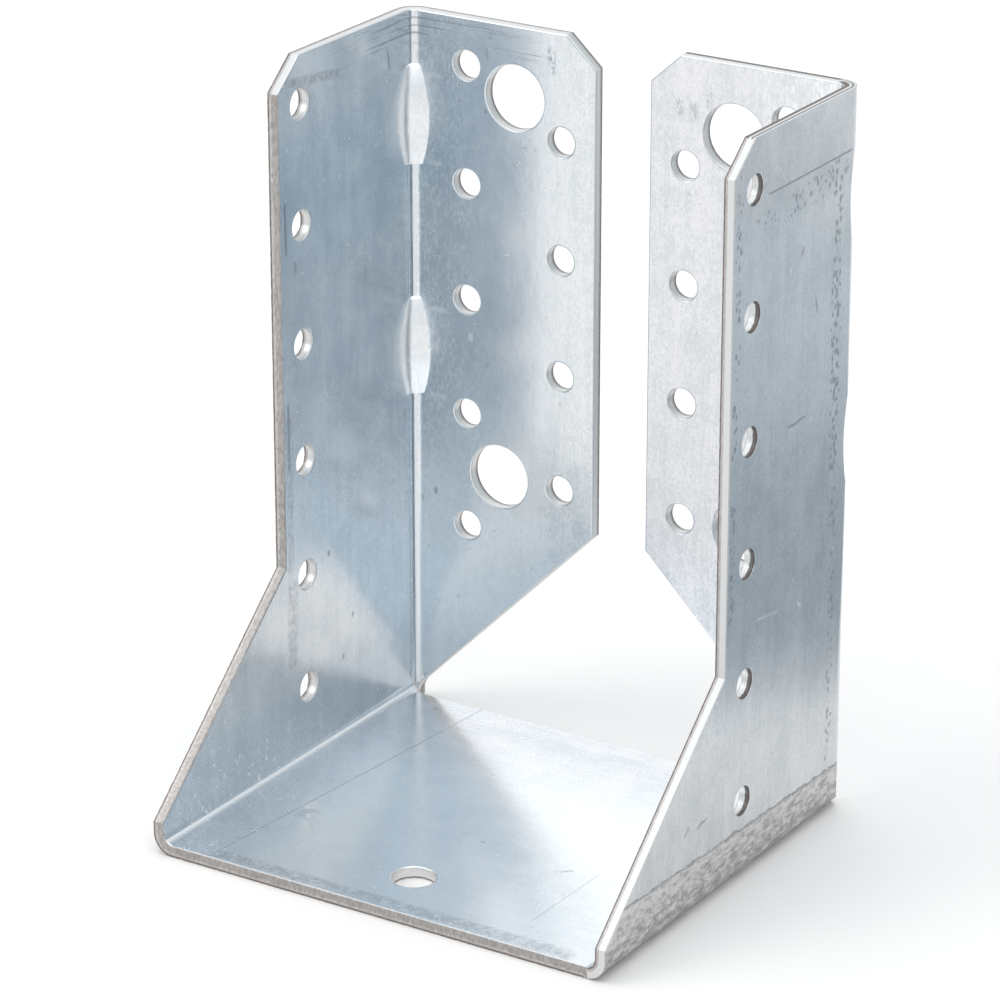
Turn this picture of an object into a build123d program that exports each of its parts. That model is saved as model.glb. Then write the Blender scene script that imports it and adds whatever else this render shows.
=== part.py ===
# Joist hanger with its flanges folded inwards: one blank of galvanised sheet, punched and folded.
# The joist lies on the seat between the two walls, with its end towards +Y.
# The backs of the two flanges lie against the header that the hanger is nailed or bolted to.
# Millimetres. X runs across the joist, Y along it and Z up.
# The origin is on the ground, under the middle of the seat.
from build123d import *
from itertools import combinations
from math import cos, dist, radians, sin
import os

os.makedirs("parts", exist_ok=True)

# The sheet and its folds
sheet = 2.0                 # thickness of the sheet
bend_radius = 1.5           # inside radius of every fold

# The cradle for the joist
joist_width = 80.0          # clear width between the walls
wall_rise = 120.0           # from the top of the seat to the top edges
seat_depth = 75.0           # from the header face to the front edge of the seat
seat_setback = 4.0          # from the header face to the back edge of the seat

# The outline of a wall, as it is seen from the side
wall_depth = 40.0           # from the header face to the upright front edge
knee_height = 37.0          # where the front edge starts to slope out to the seat
toe_height = 5.5            # where the slope ends, at the front edge of the seat
wall_corner_depth = 6.0     # corner cut off the top, along the top edge
wall_corner_drop = 5.0      # the same corner, down the front edge

# The outline of a flange, as it is seen from the front
flange_width = 37.0         # from the outside of the wall to the free edge
flange_knee_height = 37.0   # where the free edge starts to slope back to the fold
flange_corner_width = 5.5   # corner cut off the top, along the top edge
flange_corner_drop = 5.0    # the same corner, down the free edge
heel_width = 0.5            # what is left of flange and seat beside the wall, where the folds meet
heel_height = 2.5           # where the sloped edge of the flange ends
heel_radius = 3.0           # rounding of the cut-out, where the folds meet

# Nail holes
nail_hole = 5.0             # diameter
nail_pitch = 20.0           # from hole to hole, up each row
nail_top_margin = 7.0       # the least distance from the middle of a hole to the top edge
wall_nail_first = 14.0      # height of the lowest hole in a wall
wall_nail_inset = 6.0       # from the upright front edge
fold_nail_first = 34.0      # height of the lowest hole in the row of a flange that is next to the fold
fold_nail_inset = 12.5      # from the outside of the wall
edge_nail_first = 44.0      # height of the lowest hole in the row that is next to the free edge
edge_nail_inset = 6.5       # from the free edge

# Bolt holes in the flanges, and the hole in the seat
bolt_hole = 11.0            # diameter
upper_bolt_drop = 12.0      # from the top edge
upper_bolt_shift = 0.25     # from the middle between the two rows of nail holes, towards the free edge
lower_bolt_height = 44.0
lower_bolt_shift = 2.75     # from the same middle, towards the fold
seat_hole = 7.0             # diameter
seat_hole_inset = 11.5      # from the front edge of the seat

# Stiffening darts, pressed into the upright folds from outside
dart_length = 17.0          # up the fold
dart_flange_reach = 3.3     # from the inner corner to the crisp edge on the flange
dart_face_width = 3.2       # width of the flat face of the dart, at its middle
dart_face_slant = 50.0      # from the flange's normal to the flat face
dart_wall_reach = 6.0       # from the inner corner to where the dart runs out on the wall
dart_wall_slant = 2.0       # from the wall to the dart, where it runs out
dart_foot_share = 0.6       # how large the dart is at its lower end, compared with its middle
dart_head_share = 0.45      # the same at its upper end
dart_head_radius = 0.6      # rounding of the upper end
dart_tool_radius = 4.8      # radius of the round tool that presses the dart
dart_tool_setback = 3.0     # from the inner corner to the axis of the tool, both ways
dart_tool_bow = 1.0         # how much slimmer the tool is at its ends
dart_tool_inset = 1.3       # how much shorter the tool is, at each end, than the dart
dart_tool_rounding = 0.9    # rounding of the tool's ends
dart_drop = 17.5            # from the top edge to the middle of the upper dart
dart_pitch = 40.0           # from dart to dart, down the fold
dart_count = 2              # in each fold

# Rounding that the shear and the punches leave on the inner faces
roll_over = 0.3
web_share = 0.45            # the most of the narrowest web that it takes from one side

# Places that follow from the sizes
inner_x = joist_width / 2
outer_x = inner_x + sheet
top = sheet + wall_rise
header_y = seat_depth / 2
front_y = -seat_depth / 2
flange_face_y = header_y - sheet
seat_back_y = header_y - seat_setback
wall_front_y = header_y - wall_depth
free_edge_x = outer_x - flange_width
heel_x = inner_x - heel_width
fold_row_x = outer_x - fold_nail_inset
edge_row_x = free_edge_x + edge_nail_inset
row_middle_x = (fold_row_x + edge_row_x) / 2
dart_heights = [top - dart_drop - dart_pitch * step for step in range(dart_count)]
past = sheet                # how far a cutter runs past the sheet
near = 0.01                 # an edge this close to the inner skin lies on it


def row(first):
    """Heights of the nail holes in one row: as many as the height has room for."""
    count = int((top - nail_top_margin - first) // nail_pitch) + 1
    return [first + nail_pitch * step for step in range(count)]


def flange_holes():
    """The holes of the right flange: across, up and diameter."""
    nails = [(fold_row_x, height, nail_hole) for height in row(fold_nail_first)]
    nails += [(edge_row_x, height, nail_hole) for height in row(edge_nail_first)]
    bolts = [
        (row_middle_x - upper_bolt_shift, top - upper_bolt_drop, bolt_hole),
        (row_middle_x + lower_bolt_shift, lower_bolt_height, bolt_hole),
    ]
    return nails + bolts


def narrowest_web():
    """The least width of metal between two holes of a flange."""
    return min(dist(a[:2], b[:2]) - (a[2] + b[2]) / 2 for a, b in combinations(flange_holes(), 2))


def folded_block(grow):
    """The space between the folded faces, grown by the given thickness on each folded side."""
    bottom = sheet - grow
    back = flange_face_y + grow
    with BuildPart(mode=Mode.PRIVATE) as block:
        with BuildSketch(Plane.XY.offset(bottom)):
            with Locations((0, (back + front_y - past) / 2)):
                Rectangle(2 * (inner_x + grow), back - front_y + past)
        extrude(amount=top + past - bottom)
        upright_folds = block.edges().filter_by(Axis.Z).group_by(Axis.Y)[-1]
        bottom_folds = block.edges().filter_by(Axis.Y).group_by(Axis.Z)[0]
        fillet(upright_folds + bottom_folds, radius=bend_radius + grow)
    return block.part


def header_gap():
    """What is cut away between the two flanges, and between their sloped edges and the seat."""
    with BuildPart(mode=Mode.PRIVATE) as gap:
        with BuildSketch(Plane.XZ.offset(-header_y - past)) as front_view:
            with BuildLine():
                Polyline(
                    (0, top + past),
                    (free_edge_x + flange_corner_width, top + past),
                    (free_edge_x + flange_corner_width, top),
                    (free_edge_x, top - flange_corner_drop),
                    (free_edge_x, flange_knee_height),
                    (heel_x, heel_height),
                    (heel_x, -past),
                    (0, -past),
                )
                mirror(about=Plane.YZ)
            make_face()
            heels = front_view.vertices().filter_by(lambda corner: corner.Y == heel_height)
            fillet(heels, radius=heel_radius)
        extrude(amount=past + seat_setback)
        with BuildSketch(Plane.XY.offset(-past)) as plan_view:
            with Locations((0, seat_back_y + past + seat_setback)):
                Rectangle(2 * heel_x, 2 * (past + seat_setback))
            fillet(plan_view.vertices().group_by(Axis.Y)[0], radius=heel_radius)
        extrude(amount=top + 2 * past, mode=Mode.INTERSECT)
    return gap.part


def dart_section(height, share):
    """A level section of the dart in the right fold: crisp at the flange, and run out on the wall."""
    face, run_out = radians(dart_face_slant), radians(dart_wall_slant)

    def point(inwards, forwards):
        return (inner_x - share * inwards, flange_face_y - share * forwards)

    crisp_edge = (dart_flange_reach, 0)
    in_flange = point(crisp_edge[0] + sheet * sin(face), -sheet * cos(face))
    face_end = point(crisp_edge[0] - dart_face_width * sin(face), dart_face_width * cos(face))
    wall_end = point(0, dart_wall_reach)
    in_wall = point(-sheet * sin(run_out), dart_wall_reach + sheet * cos(run_out))
    with BuildSketch(Plane.XY.offset(height)) as section:
        with BuildLine():
            Line(in_flange, face_end)
            Spline(
                face_end,
                wall_end,
                tangents=((sin(face), -cos(face)), (sin(run_out), -cos(run_out))),
            )
            Line(wall_end, in_wall)
            Polyline(
                in_wall,
                (outer_x, in_wall[1]),
                (outer_x, header_y),
                (in_flange[0], header_y),
                in_flange,
            )
        make_face()
    return section.sketch


def dart_bulges():
    """The bulges of all the darts, from the middle of the sheet inwards."""
    with BuildPart(mode=Mode.PRIVATE) as bulges:
        for height in dart_heights:
            with BuildPart(mode=Mode.PRIVATE) as bulge:
                sections = [
                    dart_section(height - dart_length / 2, dart_foot_share),
                    dart_section(height, 1),
                    dart_section(height + dart_length / 2, dart_head_share),
                ]
                loft(sections)
                head = bulge.faces().sort_by(Axis.Z)[-1]
                fillet(
                    head.edges().filter_by(
                        lambda edge: (edge @ 0.5).X < outer_x - near and (edge @ 0.5).Y < header_y - near
                    ),
                    radius=dart_head_radius,
                )
            add(bulge.part)
        mirror(about=Plane.YZ)
        add(folded_block(sheet / 2), mode=Mode.INTERSECT)
    return bulges.part


def dart_tool():
    """The round tool that presses a dart, slimmer towards its ends."""
    half_length = dart_length / 2 - dart_tool_inset
    with BuildPart(mode=Mode.PRIVATE) as tool:
        with BuildSketch(Plane.XZ) as half:
            with BuildLine():
                Polyline(
                    (dart_tool_radius - dart_tool_bow, half_length),
                    (0, half_length),
                    (0, -half_length),
                    (dart_tool_radius - dart_tool_bow, -half_length),
                )
                ThreePointArc(
                    (dart_tool_radius - dart_tool_bow, -half_length),
                    (dart_tool_radius, 0),
                    (dart_tool_radius - dart_tool_bow, half_length),
                )
            make_face()
            fillet(half.vertices().group_by(Axis.X)[-1], radius=dart_tool_rounding)
        revolve(axis=Axis.Z)
    return tool.part


room = folded_block(0)

with BuildPart() as hanger:
    # The sheet, folded up and not yet cut to its outline
    add(folded_block(sheet))
    add(room, mode=Mode.SUBTRACT)
    folded = hanger.part

    # The outline of the walls, from the side: top edge, cut corner, upright edge and slope
    with BuildSketch(Plane.YZ):
        with BuildLine():
            Polyline(
                (front_y, -past),
                (front_y, toe_height),
                (wall_front_y, knee_height),
                (wall_front_y, top - wall_corner_drop),
                (wall_front_y + wall_corner_depth, top),
                (header_y + past, top),
                (header_y + past, top + 2 * past),
                (front_y - 2 * past, top + 2 * past),
                (front_y - 2 * past, -past),
                close=True,
            )
        make_face()
    extrude(amount=outer_x + past, both=True, mode=Mode.SUBTRACT)

    # The outline of the flanges and of the back edge of the seat
    add(header_gap(), mode=Mode.SUBTRACT)

    # Nail holes in the walls
    with BuildSketch(Plane.YZ):
        for height in row(wall_nail_first):
            with Locations((wall_front_y + wall_nail_inset, height)):
                Circle(nail_hole / 2)
    extrude(amount=outer_x + past, both=True, mode=Mode.SUBTRACT)

    # Nail holes and bolt holes in the flanges
    with BuildSketch(Plane.XZ.offset(-header_y)):
        for x, height, diameter in flange_holes():
            with Locations((-x, height), (x, height)):
                Circle(diameter / 2)
    extrude(amount=sheet, mode=Mode.SUBTRACT)

    # The hole in the seat
    with BuildSketch(Plane.XY):
        with Locations((0, front_y + seat_hole_inset)):
            Circle(seat_hole / 2)
    extrude(amount=sheet, mode=Mode.SUBTRACT)

    # The rounding along the cut edges of the inner faces, except the shortest ones at the heels
    rounding = min(roll_over, web_share * narrowest_web())
    cut_edges = new_edges(folded, combined=hanger.part).filter_by(lambda edge: edge.length > 2 * roll_over)
    fillet(cut_edges.filter_by(lambda edge: Vertex(edge @ 0.5).distance_to(room) < near), radius=rounding)

    # The darts: a bulge on the inside of each fold, and the hollow that the tool leaves behind it
    add(dart_bulges())
    for height in dart_heights:
        with Locations(*[
            (side * (inner_x + dart_tool_setback), flange_face_y + dart_tool_setback, height)
            for side in (-1, 1)
        ]):
            add(dart_tool(), mode=Mode.SUBTRACT)

hanger.part.label = "joist_hanger"
export_step(hanger.part, "parts/joist_hanger.step")
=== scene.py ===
import math

import bpy
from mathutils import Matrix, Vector

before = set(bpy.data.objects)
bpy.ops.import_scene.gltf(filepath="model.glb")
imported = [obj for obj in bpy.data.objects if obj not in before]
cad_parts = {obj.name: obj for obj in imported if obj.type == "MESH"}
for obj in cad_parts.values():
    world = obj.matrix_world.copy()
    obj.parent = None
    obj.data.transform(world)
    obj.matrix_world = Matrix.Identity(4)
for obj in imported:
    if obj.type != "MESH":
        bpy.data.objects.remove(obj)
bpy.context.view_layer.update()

# The hanger: one blank of 2 mm steel sheet, rolled, dipped in zinc, then punched, sheared and folded.
# It has no other piece, so all of its looks are in one finish: the rolled zinc skin, the bright
# rounded rims and raw cut faces that the press left, and the marks of folding and handling.
WALL_BEND = 38.5        # millimetres: where the walls' bends start, from the middle
BACK_BEND = 34.0        # where the upright bends start
SEAT_BEND = 3.5         # where the bottom bends end
BEND_INSIDE = 1.5
SHEET = 2.0
TOP_EDGE = 122.0
PRESSED = (104.5, 64.5)         # heights of the darts that were pressed into the upright bends
PRESS_ACROSS, PRESS_ALONG = 43.0, 38.5      # where the press's axis stood for them
DENT = (-26.5, -16.3, SHEET)    # a small soft bulge in the seat
MM_PER_METRE = 1000.0

zinc = bpy.data.materials.new("zinc_coated_steel_sheet")
zinc.use_nodes = True
zinc_nodes = zinc.node_tree.nodes
zinc_links = zinc.node_tree.links
zinc_nodes.clear()


def plug(socket, value):
    """Puts a number, a colour or another node's output into a socket."""
    if hasattr(value, "links"):
        zinc_links.new(value, socket)
    else:
        socket.default_value = value


def sums(kind, *values):
    """One step of arithmetic between node outputs and numbers."""
    node = zinc_nodes.new("ShaderNodeMath")
    node.operation = kind
    for socket, value in zip(node.inputs, values):
        plug(socket, value)
    return node.outputs[0]


def times(first, *others):
    """All the values multiplied together."""
    for other in others:
        first = sums("MULTIPLY", first, other)
    return first


def vector(kind, first, second=None, output="Vector"):
    """One step of arithmetic between places."""
    node = zinc_nodes.new("ShaderNodeVectorMath")
    node.operation = kind
    plug(node.inputs[0], first)
    if kind == "SCALE":
        plug(node.inputs["Scale"], second)
    elif second is not None:
        plug(node.inputs[1], second)
    return node.outputs[output]


def length(line):
    """How long the line to a place is."""
    return vector("LENGTH", line, output="Value")


def fade(value, low, high):
    """Rises softly from 0 at low to 1 at high, or falls where low is the larger."""
    node = zinc_nodes.new("ShaderNodeMapRange")
    node.interpolation_type = "SMOOTHSTEP"
    plug(node.inputs["Value"], value)
    plug(node.inputs["From Min"], min(low, high))
    plug(node.inputs["From Max"], max(low, high))
    if low > high:
        plug(node.inputs["To Min"], 1.0)
        plug(node.inputs["To Max"], 0.0)
    return node.outputs["Result"]


def band(value, middle, half, soft):
    """1 within half of the middle, and 0 a little further out."""
    return fade(sums("ABSOLUTE", sums("SUBTRACT", value, middle)), half + soft, half)


def most(*values):
    """The strongest of several masks."""
    total = values[0]
    for value in values[1:]:
        total = sums("MAXIMUM", total, value)
    return total


def tint(share, under, over):
    """The over colour laid on the under colour by the given share."""
    node = zinc_nodes.new("ShaderNodeMix")
    node.data_type = "RGBA"
    plug(node.inputs["Factor"], share)
    for name, colour in (("A", under), ("B", over)):
        plug(node.inputs[name], colour + (1.0,) if isinstance(colour, tuple) else colour)
    return node.outputs["Result"]


def toned(share, under, factor):
    """A colour multiplied by a factor, by the given share."""
    return vector("MULTIPLY", under, tint(share, (1.0, 1.0, 1.0), factor))


def blend(share, under, over):
    """The same for single numbers."""
    node = zinc_nodes.new("ShaderNodeMix")
    plug(node.inputs["Factor"], share)
    plug(node.inputs["A"], under)
    plug(node.inputs["B"], over)
    return node.outputs["Result"]


def grain(per_mm, detail, roughness):
    """Noise between 0 and 1, with its count per millimetre along X, Y and Z."""
    node = zinc_nodes.new("ShaderNodeTexNoise")
    zinc_links.new(vector("MULTIPLY", place, per_mm), node.inputs["Vector"])
    node.inputs["Scale"].default_value = 1.0
    node.inputs["Detail"].default_value = detail
    node.inputs["Roughness"].default_value = roughness
    return node.outputs["Fac"]


# places are in millimetres: X to the right, Y towards the back and Z up from the table
place = vector("SCALE", zinc_nodes.new("ShaderNodeTexCoord").outputs["Object"], MM_PER_METRE)
split_place = zinc_nodes.new("ShaderNodeSeparateXYZ")
zinc_links.new(place, split_place.inputs[0])
x, y, z = split_place.outputs
across = sums("ABSOLUTE", x)

# how deep in the sheet a point lies, from 0 on the inner skin to 2 mm on the outer skin
past_bends = zinc_nodes.new("ShaderNodeCombineXYZ")
for name, value in (("X", sums("SUBTRACT", across, WALL_BEND)), ("Y", sums("SUBTRACT", y, BACK_BEND)),
                    ("Z", sums("SUBTRACT", SEAT_BEND, z))):
    plug(past_bends.inputs[name], sums("MAXIMUM", value, 0.0))
depth = sums("SUBTRACT", length(past_bends.outputs[0]), BEND_INSIDE)

# the two skins of the sheet, then four of its faces, which end where their bends begin
inside = fade(depth, 0.30, 0.08)
outside = fade(depth, 1.6, 1.9)
on_left_wall = times(inside, fade(x, -39.2, -39.7))
on_flanges = times(inside, fade(y, 34.9, 35.3))
on_seat = times(inside, fade(z, 2.8, 2.4))
on_right_wall = times(outside, fade(x, 41.0, 41.7))

# the rolled skin: fine lines in the rolling direction, which runs up the walls and across the seat
DULL_ZINC, PALE_ZINC = (0.645, 0.680, 0.705), (0.800, 0.818, 0.832)
# painted light and shade for single faces, laid on further down: a pale painted light for the seat and
# painted shade for the walls
PAINTED_SEAT_LIGHT = (0.93, 0.955, 0.975)
PAINTED_LEFT_WALL_SHADE, PAINTED_RIGHT_WALL_SHADE = (0.50, 0.63, 0.74), (0.89, 0.89, 0.89)
lying = times(fade(z, 3.0, 2.5), fade(across, 39.5, 38.5))
rolling = vector("ADD", vector("SCALE", (2.6, 2.6, 0.10), sums("SUBTRACT", 1.0, lying)),
                 vector("SCALE", (0.10, 2.6, 1.0), lying))
fine_lines = grain(rolling, 2.0, 0.6)
broad_lines = grain(vector("SCALE", rolling, 0.2), 2.0, 0.5)
mottle = grain((0.17, 0.17, 0.13), 3.0, 0.6)
flecks = grain((2.3, 2.3, 0.95), 3.0, 0.7)
sand = grain((3.2, 3.2, 2.6), 2.0, 0.6)
skin_tone = sums("ADD", sums("ADD", times(fine_lines, 0.11), times(broad_lines, 0.12)),
                 sums("ADD", times(mottle, 0.25), sums("ADD", times(flecks, 0.22), times(sand, 0.30))))
colour = tint(fade(skin_tone, 0.42, 0.58), DULL_ZINC, PALE_ZINC)

# painted light and shade, face by face: the seat is painted paler towards its front and darker towards its
# back, the left flange paler towards its fold and the right flange a little darker, and the left wall is
# painted darker and bluer, as painted shade, above a pale patch that starts in its lowest inner corner
PAINTED_FLANGE_LIGHT = (0.93, 0.95, 0.97)
PAINTED_SEAT_SHADE, PAINTED_FLANGE_SHADE = (0.96, 0.945, 0.945), (0.97, 0.945, 0.945)
colour = tint(times(on_seat, fade(y, 28.0, 2.0), 0.62), colour, PAINTED_SEAT_LIGHT)
colour = toned(times(on_seat, fade(y, 2.0, 28.0)), colour, PAINTED_SEAT_SHADE)
near_left_fold = times(on_flanges, fade(x, -8.0, -20.0), blend(fade(z, 40.0, 60.0), 0.45, 0.80))
colour = tint(near_left_fold, colour, PAINTED_FLANGE_LIGHT)
colour = toned(times(on_flanges, fade(x, 0.0, 4.0)), colour, PAINTED_FLANGE_SHADE)
# painted shade: the left wall is painted darker and bluer near its foot and above the pale patch
beyond_patch = most(fade(sums("MULTIPLY_ADD", y, 1.23, z), 46.5, 50.5), fade(z, 30.0, 41.0))
upper_shade_share = blend(fade(z, 104.0, 114.0), blend(fade(z, 82.0, 98.0), 0.52, 0.74), 0.48)
left_wall_shade_share = most(times(fade(z, 20.0, 10.0), 0.44), times(beyond_patch, upper_shade_share))
colour = toned(times(on_left_wall, left_wall_shade_share), colour, PAINTED_LEFT_WALL_SHADE)
# painted shade: the right wall's outside is painted darker low down and near its top
low_and_high = most(fade(z, 34.0, 22.0), fade(z, 104.0, 114.0))
colour = toned(times(on_right_wall, low_and_high), colour, PAINTED_RIGHT_WALL_SHADE)
rough = sums("MULTIPLY_ADD", mottle, 0.10, 0.17)

# how high the skin stands, in millimetres: rolling lines, slow waves and the dent in the seat
height = sums("ADD", times(fine_lines, 0.0022), times(mottle, 0.035))
bulge = fade(length(vector("SUBTRACT", place, DENT)), 2.6, 0.2)
height = sums("MULTIPLY_ADD", bulge, 0.10, height)

# zinc flowers rubbed into bright upright flecks, mostly on the flanges beside their folds
rubbed = times(on_flanges, fade(sums("MULTIPLY_ADD", mottle, 22.0, across), 33.0, 47.0), fade(z, 35.0, 60.0))
RUBBED_DULL, RUBBED_BRIGHT = (0.720, 0.760, 0.785), (0.925, 0.935, 0.945)
rubbed_colour = tint(fade(flecks, 0.44, 0.62), RUBBED_DULL, RUBBED_BRIGHT)
colour = tint(times(rubbed, 0.85), colour, rubbed_colour)
rough = sums("ADD", rough, times(rubbed, 0.05))

# the darts, pressed inwards, and the insides of the bends: stretched, so duller, and painted near white as
# painted highlights, with a soft painted glow where each dart runs out into the wall
pressed = fade(depth, -0.03, -0.12)
into_wall = sums("SUBTRACT", across, WALL_BEND)
into_flange = sums("SUBTRACT", y, BACK_BEND)
into_seat = sums("SUBTRACT", SEAT_BEND, z)
bent = times(inside, fade(into_wall, 0.1, 0.5), most(
    times(fade(y, 34.1, 34.5), band(sums("SUBTRACT", into_flange, into_wall), 0.15, 0.30, 0.30)),
    times(fade(z, 3.4, 3.0), band(sums("SUBTRACT", into_seat, into_wall), 0.0, 0.22, 0.25))))
RUN_OUT_DEPTH, RUN_OUT_HEIGHT = 6.8, 8.8        # how far each dart's soft end reaches, along the wall and up
RUN_OUT_SHAPE = (0.0, 1.0 / RUN_OUT_DEPTH, 1.0 / RUN_OUT_HEIGHT)
run_outs = []
for middle in PRESSED:
    from_dart = vector("MULTIPLY", vector("SUBTRACT", place, (0.0, BACK_BEND, middle)), RUN_OUT_SHAPE)
    run_outs.append(fade(length(from_dart), 1.2, 0.0))
run_out = times(inside, fade(across, 38.0, 39.0), most(*run_outs))
# painted highlight colours for the bend insides, the darts and their run-out glow
PAINTED_RUN_OUT_GLOW, PAINTED_BEND_HIGHLIGHT = (0.95, 0.97, 0.985), (0.98, 0.98, 0.98)
PAINTED_DART_PALE, PAINTED_DART_WHITE = (0.91, 0.915, 0.92), (1.0, 1.0, 1.0)
painted_dart_highlight = tint(fade(flecks, 0.40, 0.62), PAINTED_DART_PALE, PAINTED_DART_WHITE)
colour = tint(times(run_out, 0.7), colour, PAINTED_RUN_OUT_GLOW)
colour = tint(times(pressed, 0.9), colour, painted_dart_highlight)
colour = tint(times(bent, 0.9), colour, PAINTED_BEND_HIGHLIGHT)
rough = blend(most(pressed, run_out, times(bent, 0.9)), rough, blend(pressed, 0.45, 0.30))

# dark and pale specks from stacking and handling, with more of the pale ones at the foot of the left wall
spots = grain((0.95, 0.95, 0.75), 2.0, 0.6)
dusty = times(fade(x, -24.0, -36.0), fade(z, 22.0, 3.0), fade(y, 14.0, -18.0), fade(depth, 0.3, 0.1))
stains = times(fade(spots, 0.70, 0.76), 0.45)
dust = times(dusty, blend(on_seat, 0.105, 0.085))
pale_specks = times(fade(sums("SUBTRACT", spots, dust), 0.285, 0.255), 0.8)
STAIN_GREY, DUST_PALE = (0.40, 0.43, 0.46), (0.97, 0.97, 0.97)
colour = tint(stains, colour, STAIN_GREY)
colour = tint(pale_specks, colour, DUST_PALE)
rough = sums("MULTIPLY_ADD", pale_specks, 0.3, rough)

# marks of handling, each with its start and end along the face, its place across it at both ends,
# half its width and its strength
wavy = sums("ADD", z, sums("MULTIPLY_ADD", mottle, 3.0, -1.5))
dots = zinc_nodes.new("ShaderNodeTexVoronoi")
zinc_links.new(vector("MULTIPLY", place, (1.1, 1.1, 0.75)), dots.inputs["Vector"])
dots.inputs["Scale"].default_value = 1.0
REACH_LOW, REACH = -50.0, 200.0     # the lowest place across a face that a ramp's colour holds, and the span
WIDEST_HALF = 4.0                   # the widest half width that it can hold
SOFT_END = 0.5
MARGIN = 2.0


def marks(along, over, *rows):
    """Marks on one line of a face, at most seven, each 1 mm or more past the one before."""
    low = min(row[0] for row in rows) - MARGIN
    span = max(row[1] for row in rows) + MARGIN - low
    ramp = zinc_nodes.new("ShaderNodeValToRGB")
    plug(ramp.inputs[0], sums("MULTIPLY_ADD", along, 1.0 / span, -low / span))
    stops = ramp.color_ramp.elements
    while len(stops) > 1:
        stops.remove(stops[-1])
    stops[0].position = 0.0
    stops[0].color = (0.0, 0.0, 0.5, 1.0)
    for start, end, over_start, over_end, half, strength in rows:
        soft = min(SOFT_END, (end - start) * 0.3)
        for at, share, shown in ((start - soft, 0.0, 0.0), (start + soft, 0.1, strength),
                                 (end - soft, 0.9, strength), (end + soft, 1.0, 0.0)):
            stop = stops.new((at - low) / span)
            middle = over_start + (over_end - over_start) * share
            stop.color = ((middle - REACH_LOW) / REACH, shown, half / WIDEST_HALF, 1.0)
    parts = zinc_nodes.new("ShaderNodeSeparateColor")
    zinc_links.new(ramp.outputs["Color"], parts.inputs[0])
    middle, shown, half = parts.outputs
    off = sums("ABSOLUTE", sums("SUBTRACT", over, sums("MULTIPLY_ADD", middle, REACH, REACH_LOW)))
    return times(fade(sums("DIVIDE", off, times(half, WIDEST_HALF)), 1.0, 0.35), shown)


def scattered(*values):
    """Marks as loose dots of different sizes, which shrink towards the mark's borders."""
    mask = most(*values)
    size = times(mask, sums("MULTIPLY_ADD", sand, 0.9, -0.10))
    return times(fade(sums("SUBTRACT", size, dots.outputs["Distance"]), -0.06, 0.05), 0.65)


def smeared(*values):
    """Marks as soft grey smears, paler and darker in places."""
    patches = fade(sums("ADD", flecks, spots), 0.84, 1.16)
    return times(most(*values), sums("MULTIPLY_ADD", patches, 0.28, 0.07))


# right wall, outside: a scored line, scuffs below it, and rubbing along the bend and the front edge
dark_marks = times(on_right_wall, most(
    marks(y, wavy, (-14.4, -13.0, 15.2, 15.9, 0.4, 0.6), (-10.5, -7.7, 15.0, 15.4, 0.4, 0.6),
          (15.4, 21.0, 72.2, 72.8, 0.25, 0.6)),
    marks(y, z, (8.0, 34.0, 112.1, 112.3, 0.22, 0.75)),
    scattered(
        marks(y, z, (4.0, 12.0, 109.0, 108.0, 2.0, 0.7), (14.0, 33.0, 108.5, 109.5, 3.0, 1.0)),
        marks(z, y, (8.0, 58.0, 31.5, 30.6, 1.6, 0.9), (60.0, 112.0, 30.8, 29.4, 2.2, 1.2)),
        marks(z, y, (44.0, 83.0, -1.2, -1.2, 1.2, 1.1), (85.0, 118.0, -0.8, -1.0, 1.4, 1.0))),
    marks(z, y, (88.9, 91.6, 23.9, 23.3, 0.4, 0.5), (99.4, 100.6, 18.7, 18.9, 0.6, 0.5))))
# left wall, inside: a row of flecks under the top edge, and rubbing along the front edge
dark_marks = sums("ADD", dark_marks, times(on_left_wall, most(
    smeared(marks(y, z, (0.0, 15.0, 118.2, 116.2, 1.1, 1.3)),
            marks(z, y, (19.0, 34.0, -1.2, -0.6, 2.0, 1.0), (36.0, 63.0, -1.0, -1.0, 1.4, 0.9))),
    marks(z, y, (15.2, 16.2, 13.5, 13.5, 0.5, 0.6), (21.9, 22.7, 16.4, 16.4, 0.45, 0.6),
          (35.1, 36.0, 9.7, 9.7, 0.5, 0.7), (53.5, 65.0, -1.1, -1.1, 0.45, 0.6),
          (86.4, 88.4, 1.6, 1.6, 0.35, 0.6), (90.2, 98.5, -0.9, -1.1, 0.40, 0.7),
          (113.3, 117.0, 28.9, 28.3, 0.4, 0.55)))))
# flanges: a few dashes, with short upright ones beside the right bolt hole
dark_marks = sums("ADD", dark_marks, times(on_flanges, most(
    marks(z, x, (38.4, 39.5, -35.8, -35.8, 0.45, 0.6), (115.8, 117.4, -25.5, -25.6, 0.4, 0.5)),
    times(fade(flecks, 0.44, 0.60), most(
        marks(z, x, (115.0, 119.4, -13.2, -13.4, 1.0, 0.6)),
        marks(x, z, (9.5, 11.0, 113.5, 113.5, 2.2, 0.5), (12.3, 13.6, 113.0, 113.0, 2.3, 0.5),
              (15.0, 16.2, 115.5, 115.5, 2.0, 0.5)))))))
# seat: two scored lines, scuffs behind the front edge and a few dots
dark_marks = sums("ADD", dark_marks, times(on_seat, most(
    marks(y, x, (-37.5, 34.0, -32.2, -24.3, 0.22, 0.30)),
    marks(y, x, (-28.8, -10.0, 23.6, 24.1, 0.22, 0.22)),
    smeared(marks(x, y, (-31.0, 35.0, -35.6, -35.6, 2.0, 1.2))),
    marks(x, y, (-32.4, -31.6, 29.4, 29.4, 0.45, 0.5), (2.0, 2.8, -9.8, -9.8, 0.4, 0.5),
          (18.4, 19.9, -12.2, -11.0, 0.4, 0.5)))))
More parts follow.
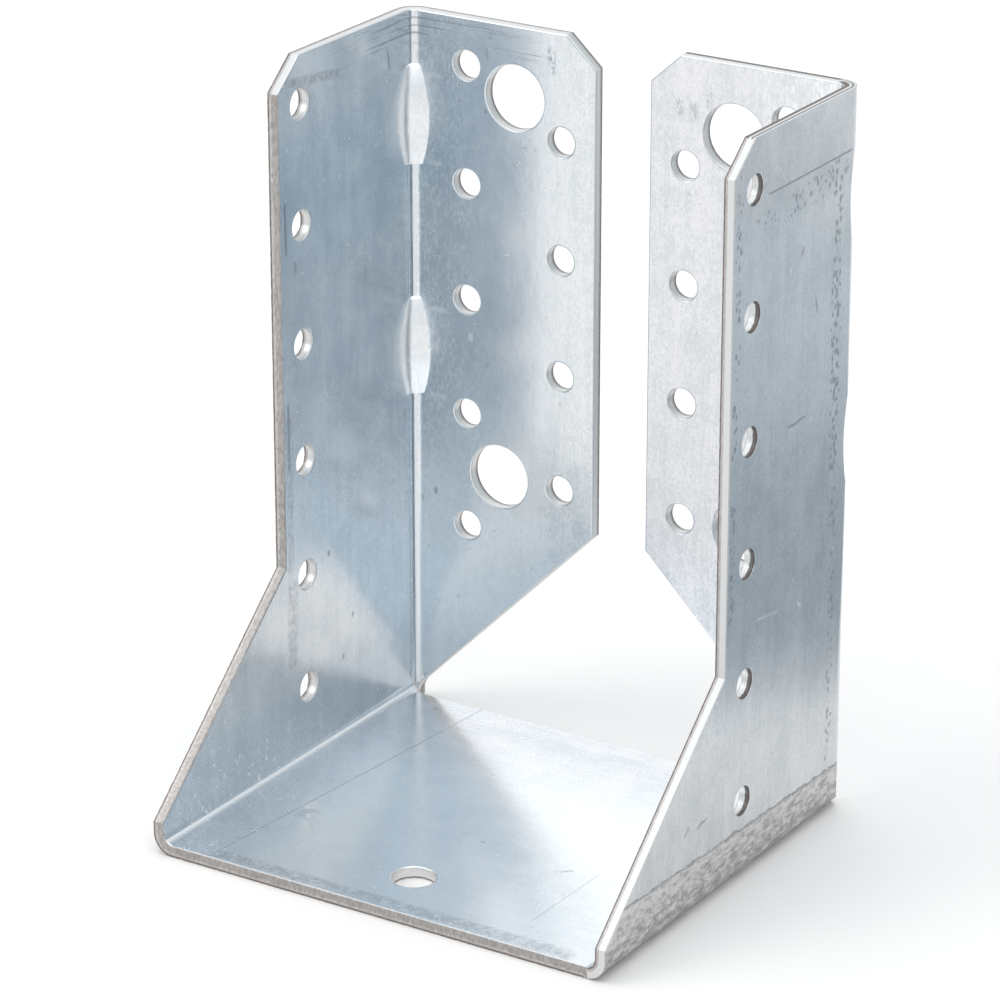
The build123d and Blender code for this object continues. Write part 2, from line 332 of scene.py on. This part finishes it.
# long thin streaks from the rolls, close under the top edge of the left wall and its flange
roll_lines = fade(grain((0.045, 0.045, 1.9), 2.0, 0.6), 0.55, 0.66)
under_top_edge = times(fade(y, 8.0, 18.0), fade(z, 115.5, 117.5), fade(z, 121.6, 120.8))
dark_marks = sums("ADD", dark_marks, times(roll_lines, 0.55, inside, fade(x, -12.0, -20.0), under_top_edge))
pale_marks = most(
    times(on_right_wall, marks(y, z, (6.7, 13.8, 43.5, 42.5, 0.4, 0.4), (20.0, 21.0, 41.6, 41.0, 0.5, 0.8))),
    times(on_flanges, marks(z, x, (55.7, 56.4, -35.4, -35.4, 2.4, 0.5), (63.5, 65.8, -35.5, -35.3, 0.4, 0.7),
          (67.2, 68.2, -28.8, -28.8, 0.5, 0.7), (70.9, 71.6, -35.3, -35.3, 2.6, 0.65),
          (96.2, 96.9, -35.8, -35.8, 2.0, 0.5), (111.1, 111.7, -36.0, -36.0, 1.9, 0.55))))
SCUFF_GREY, SCRATCH_PALE = (0.25, 0.27, 0.30), (0.93, 0.94, 0.95)
colour = tint(dark_marks, colour, SCUFF_GREY)
colour = tint(pale_marks, colour, SCRATCH_PALE)
rough = sums("ADD", rough, times(sums("ADD", dark_marks, pale_marks), 0.22))

# the bottom bends' outsides: worn where the fold was made, mottled brown grey, with a thin dark border
blotches = grain((1.0, 0.38, 1.0), 3.0, 0.75)
ragged = sums("ADD", sums("MULTIPLY_ADD", y, 0.032, z), times(sums("SUBTRACT", blotches, 0.5), 2.6))
worn = times(outside, fade(across, 38.4, 39.4), fade(ragged, 9.5, 9.0))
worn_border = times(outside, fade(across, 40.0, 41.5), band(ragged, 9.25, 0.10, 0.22))
low_tone = sums("ADD", sums("ADD", blotches, sums("MULTIPLY_ADD", z, 0.020, -0.12)), times(flecks, 0.22))
WORN_DARK, WORN_LIGHT, WORN_BORDER_GREY = (0.32, 0.31, 0.305), (0.72, 0.705, 0.70), (0.24, 0.23, 0.24)
worn_colour = tint(fade(low_tone, 0.42, 0.76), WORN_DARK, WORN_LIGHT)
colour = tint(times(worn, 0.92), colour, worn_colour)
colour = tint(times(worn_border, 0.75), colour, WORN_BORDER_GREY)
rough = blend(worn, rough, 0.42)

# the cut faces: a bright rounded rim, a burnished band, then the grey brown break of the shear.
# The right wall's outline was cut from the other side, so there the break lies at the inner skin.
from_press = vector("SUBTRACT", vector("ABSOLUTE", place), (PRESS_ACROSS, PRESS_ALONG, 0.0))
press_distance = length(vector("MULTIPLY", from_press, (1.0, 1.0, 0.0)))
hollow = times(fade(press_distance, 5.5, 5.1),
               most(*[band(z, middle, 7.8, 0.4) for middle in PRESSED]), fade(y, 30.0, 31.0))
cut = times(fade(depth, 0.03, 0.09), fade(depth, SHEET - 0.02, SHEET - 0.08), sums("SUBTRACT", 1.0, hollow))
edge_of_wall = sums("MAXIMUM", fade(y, 0.6, 0.4), fade(z, 116.8, 117.0))
right_side = fade(x, 38.0, 39.0)
turned = times(right_side, edge_of_wall)
cut_depth = blend(turned, depth, sums("SUBTRACT", SHEET, depth))
break_depth = sums("ADD", cut_depth, times(sums("SUBTRACT", flecks, 0.5), 0.5))
in_hole = times(right_side, sums("SUBTRACT", 1.0, edge_of_wall))
break_start = blend(in_hole, 1.15, 1.05)
broken = times(cut, fade(sums("SUBTRACT", break_depth, break_start), 0.0, 0.18))
top_cut = times(cut, fade(z, TOP_EDGE - 0.25, TOP_EDGE - 0.12), fade(x, 4.0, 5.0))
front_cut = times(cut, fade(y, 0.6, 0.4), fade(x, 39.0, 38.5), fade(z, 117.0, 116.8))
dark_line = times(cut, most(
    band(break_depth, 1.78, 0.07, 0.12),
    times(turned, band(depth, 1.93, 0.03, 0.05)),
    times(top_cut, turned, most(band(depth, 0.42, 0.36, 0.12), band(depth, 1.40, 0.12, 0.10))),
    times(top_cut, fade(x, 38.5, 37.5), fade(break_depth, 1.00, 1.20))))
BURNISHED_GREY, BURR_BROWN = (0.72, 0.72, 0.715), (0.15, 0.12, 0.105)
BREAK_DARK, BREAK_LIGHT, PAINTED_HOLE_SHADE = (0.45, 0.425, 0.41), (0.62, 0.595, 0.575), (0.13, 0.12, 0.12)
FRONT_DARK, FRONT_LIGHT, SEAT_HOLE_PALE = (0.33, 0.31, 0.295), (0.45, 0.43, 0.415), (0.97, 0.97, 0.97)
break_and_hole_shade = tint(fade(flecks, 0.35, 0.65), BREAK_DARK, BREAK_LIGHT)
# painted shade: in the right wall's holes the grey brown break is painted near black, as the shade inside the
# holes
break_and_hole_shade = tint(times(in_hole, 0.85), break_and_hole_shade, PAINTED_HOLE_SHADE)
front_colour = tint(fade(flecks, 0.36, 0.62), FRONT_DARK, FRONT_LIGHT)
colour = tint(cut, colour, BURNISHED_GREY)
colour = tint(front_cut, colour, front_colour)
colour = tint(broken, colour, break_and_hole_shade)
in_seat_hole = times(cut, fade(z, SHEET + 0.3, SHEET + 0.1), fade(across, 12.0, 10.0), fade(y, -36.0, -35.0))
colour = tint(times(in_seat_hole, 0.7), colour, SEAT_HOLE_PALE)
colour = tint(times(dark_line, 0.85), colour, BURR_BROWN)
rough = blend(cut, rough, blend(broken, 0.42, 0.5))

skin = zinc_nodes.new("ShaderNodeBsdfPrincipled")
skin.inputs["Metallic"].default_value = 1.0
plug(skin.inputs["Base Color"], colour)
plug(skin.inputs["Roughness"], rough)
relief = zinc_nodes.new("ShaderNodeBump")
relief.inputs["Strength"].default_value = 1.0
relief.inputs["Distance"].default_value = 1.0 / MM_PER_METRE
plug(relief.inputs["Height"], height)
zinc_links.new(relief.outputs[0], skin.inputs["Normal"])
zinc_out = zinc_nodes.new("ShaderNodeOutputMaterial")
zinc_links.new(skin.outputs[0], zinc_out.inputs["Surface"])

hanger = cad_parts["joist_hanger"]
hanger.material_slots[0].material = zinc

# The table: a large white sheet that the hanger stands on. In front of the hanger and to its right, outside
# the picture, shade is painted on it for the steel to mirror:
# a dark painted shadow in front, on the camera's side, grey painted shade to the right and paler painted
# shade further right.
TABLE_SIDE = 8.0
RIGHTWARDS = (0.844, 0.536, 0.0)        # level directions, as seen from the front right of the hanger
FORWARDS = (0.536, -0.844, 0.0)
ALONG_PICTURE_EDGE = (0.898, 0.452, 0.0)
bpy.ops.mesh.primitive_plane_add(size=TABLE_SIDE, location=(0.0, 0.0, 0.0))
table = bpy.context.object
table.name = "table"
sheet_and_painted_shade = bpy.data.materials.new("white_sheet_with_painted_shade")
sheet_and_painted_shade.use_nodes = True
table_nodes = sheet_and_painted_shade.node_tree.nodes
table_links = sheet_and_painted_shade.node_tree.links
table_skin = table_nodes["Principled BSDF"]
table_skin.inputs["Roughness"].default_value = 1.0
table_skin.inputs["Specular IOR Level"].default_value = 0.0
table_place = table_nodes.new("ShaderNodeTexCoord").outputs["Object"]


def strip(direction, *edges):
    """The edges of a strip across a level direction, each of which fades between two distances."""
    far = table_nodes.new("ShaderNodeVectorMath")
    far.operation = "DOT_PRODUCT"
    table_links.new(table_place, far.inputs[0])
    far.inputs[1].default_value = direction
    shares = []
    for start, end in edges:
        ramp = table_nodes.new("ShaderNodeMapRange")
        ramp.interpolation_type = "SMOOTHSTEP"
        table_links.new(far.outputs["Value"], ramp.inputs["Value"])
        ramp.inputs["From Min"].default_value = min(start, end)
        ramp.inputs["From Max"].default_value = max(start, end)
        ramp.inputs["To Min"].default_value = float(start > end)
        ramp.inputs["To Max"].default_value = float(start < end)
        shares.append(ramp.outputs["Result"])
    return shares


def both(shares):
    """Several shares multiplied together."""
    total = shares[0]
    for share in shares[1:]:
        node = table_nodes.new("ShaderNodeMath")
        node.operation = "MULTIPLY"
        table_links.new(total, node.inputs[0])
        table_links.new(share, node.inputs[1])
        total = node.outputs[0]
    return total


def laid_on(share, under, over):
    """The over colour laid on the under colour by the given share."""
    node = table_nodes.new("ShaderNodeMix")
    node.data_type = "RGBA"
    table_links.new(share, node.inputs["Factor"])
    if isinstance(under, tuple):
        node.inputs["A"].default_value = under
    else:
        table_links.new(under, node.inputs["A"])
    node.inputs["B"].default_value = over
    return node.outputs["Result"]


in_front = both(strip(FORWARDS, (0.06, 0.09)) + strip(RIGHTWARDS, (-0.060, -0.012), (0.020, 0.002)))
on_the_right = both(strip(ALONG_PICTURE_EDGE, (0.084, 0.114)) + strip(FORWARDS, (-0.20, -0.14), (0.06, 0.03)))
further_right = both(strip(RIGHTWARDS, (0.18, 0.235)) + strip(FORWARDS, (-0.20, -0.14), (0.06, 0.03)))
# the white sheet, then the colours of the painted shadow and painted shade
SHEET_WHITE, PAINTED_FAR_SHADE = (0.93, 0.905, 0.89, 1.0), (0.53, 0.56, 0.585, 1.0)
PAINTED_RIGHT_SHADE, PAINTED_FRONT_SHADOW = (0.355, 0.39, 0.42, 1.0), (0.145, 0.215, 0.27, 1.0)
table_colour = laid_on(in_front, SHEET_WHITE, PAINTED_FRONT_SHADOW)
table_colour = laid_on(on_the_right, table_colour, PAINTED_RIGHT_SHADE)
table_colour = laid_on(further_right, table_colour, PAINTED_FAR_SHADE)
table_links.new(table_colour, table_skin.inputs["Base Color"])
table.data.materials.append(sheet_and_painted_shade)

# The light: a soft pale room with a wide lamp overhead, a smaller one on the left of the table and a weak
# one on its right, and paler panels behind, low on the left and in front.
ROOM_WHITE, ROOM_STRENGTH = (0.87, 0.945, 1.0, 1.0), 0.75
LAMP_WHITE = (1.0, 0.972, 0.945)
world = bpy.data.worlds.new("studio")
bpy.context.scene.world = world
world.use_nodes = True
world.node_tree.nodes["Background"].inputs["Color"].default_value = ROOM_WHITE
world.node_tree.nodes["Background"].inputs["Strength"].default_value = ROOM_STRENGTH


def lamp(name, place_at, aim, width, height, radiance):
    """A rectangular soft lamp, whose brightness is given as it looks, where 1 is white."""
    light = bpy.data.lights.new(name, "AREA")
    light.shape = "RECTANGLE"
    light.size = width
    light.size_y = height
    light.energy = radiance * math.pi * width * height
    light.color = LAMP_WHITE
    held = bpy.data.objects.new(name, light)
    bpy.context.scene.collection.objects.link(held)
    held.location = place_at
    held.rotation_euler = (Vector(aim) - Vector(place_at)).to_track_quat("-Z", "Y").to_euler()
    held.visible_camera = False


lamp("overhead_lamp", (0.0, 0.15, 1.2), (0.0, 0.15, 0.0), 1.2, 1.2, 1.3)
lamp("left_lamp", (-0.45, -0.35, 0.45), (-0.1, -0.1, 0.0), 0.4, 0.4, 2.0)
lamp("right_lamp", (0.42, -0.22, 0.35), (0.12, -0.10, 0.0), 0.3, 0.3, 0.6)
lamp("back_panel", (-0.32, 0.50, 0.26), (0.0, 0.0, 0.03), 0.6, 0.3, 0.6)
lamp("low_left_panel", (-0.40, -0.62, 0.32), (0.0, 0.0, 0.03), 0.5, 0.3, 0.45)
lamp("front_panel", (0.42, -0.66, 0.42), (0.0, 0.0, 0.06), 0.6, 0.4, 0.6)

# The camera: a long lens, to the front right of the hanger and above it, which looks down at it. Its place
# and its lens were fitted to points that were measured on the hanger in the photograph.
CAMERA_PLACE = Vector((0.3565, -0.56275, 0.3222))
CAMERA_TURN = math.radians(32.393)
CAMERA_DIP = math.radians(21.723)
FRAME_SIDE = 1000.0
FOCAL_PIXELS = 4577.1
SENSOR = 36.0
camera = bpy.data.cameras.new("camera")
camera.sensor_width = SENSOR
camera.lens = FOCAL_PIXELS / FRAME_SIDE * SENSOR
camera_object = bpy.data.objects.new("camera", camera)
bpy.context.scene.collection.objects.link(camera_object)
camera_object.location = CAMERA_PLACE
looks_along = Vector((-math.sin(CAMERA_TURN) * math.cos(CAMERA_DIP),
                      math.cos(CAMERA_TURN) * math.cos(CAMERA_DIP),
                      -math.sin(CAMERA_DIP)))
camera_object.rotation_euler = looks_along.to_track_quat("-Z", "Y").to_euler()
bpy.context.scene.camera = camera_object

bpy.context.scene.view_settings.view_transform = "Standard"
